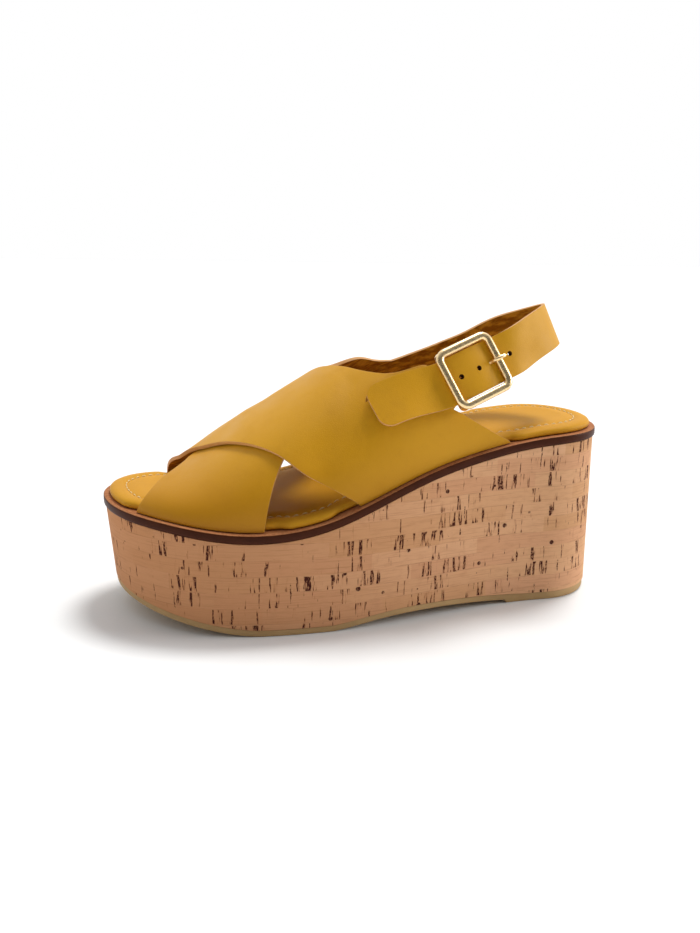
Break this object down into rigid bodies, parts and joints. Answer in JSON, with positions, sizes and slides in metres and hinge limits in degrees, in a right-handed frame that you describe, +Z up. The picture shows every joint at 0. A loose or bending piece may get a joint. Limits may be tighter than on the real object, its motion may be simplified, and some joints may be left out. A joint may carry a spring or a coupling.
{
  "type": "platform sandal",
  "caption": "Left platform sandal: cork wedge sole, padded insole, crossed wide leather straps over an open toe, and a buckled sling strap round the heel.",
  "frame": {"origin": "centre of the shoe's box at floor level", "axes": "-X towards the toe and +X towards the heel, -Y towards the lateral side, +Z up"},
  "size_m": [0.2468, 0.097, 0.1445],
  "materials": {
    "outsole_rubber": "matt rubber, olive tan",
    "cork": "natural cork sheet with dark flecks",
    "welt_board": "waxed brown leather board",
    "footbed_leather": "smooth glazed leather, golden tan",
    "strap_leather": "smooth leather, mustard tan, suede inside",
    "buckle_metal": "polished, pale gold"
  },
  "bodies": {
    "root": {"outsole": "outsole_rubber", "wedge": "cork", "welt": "welt_board", "insole": "footbed_leather", "upper": "strap_leather", "buckle_frame": "buckle_metal", "buckle_prong": "buckle_metal"}
  },
  "joints": []
}
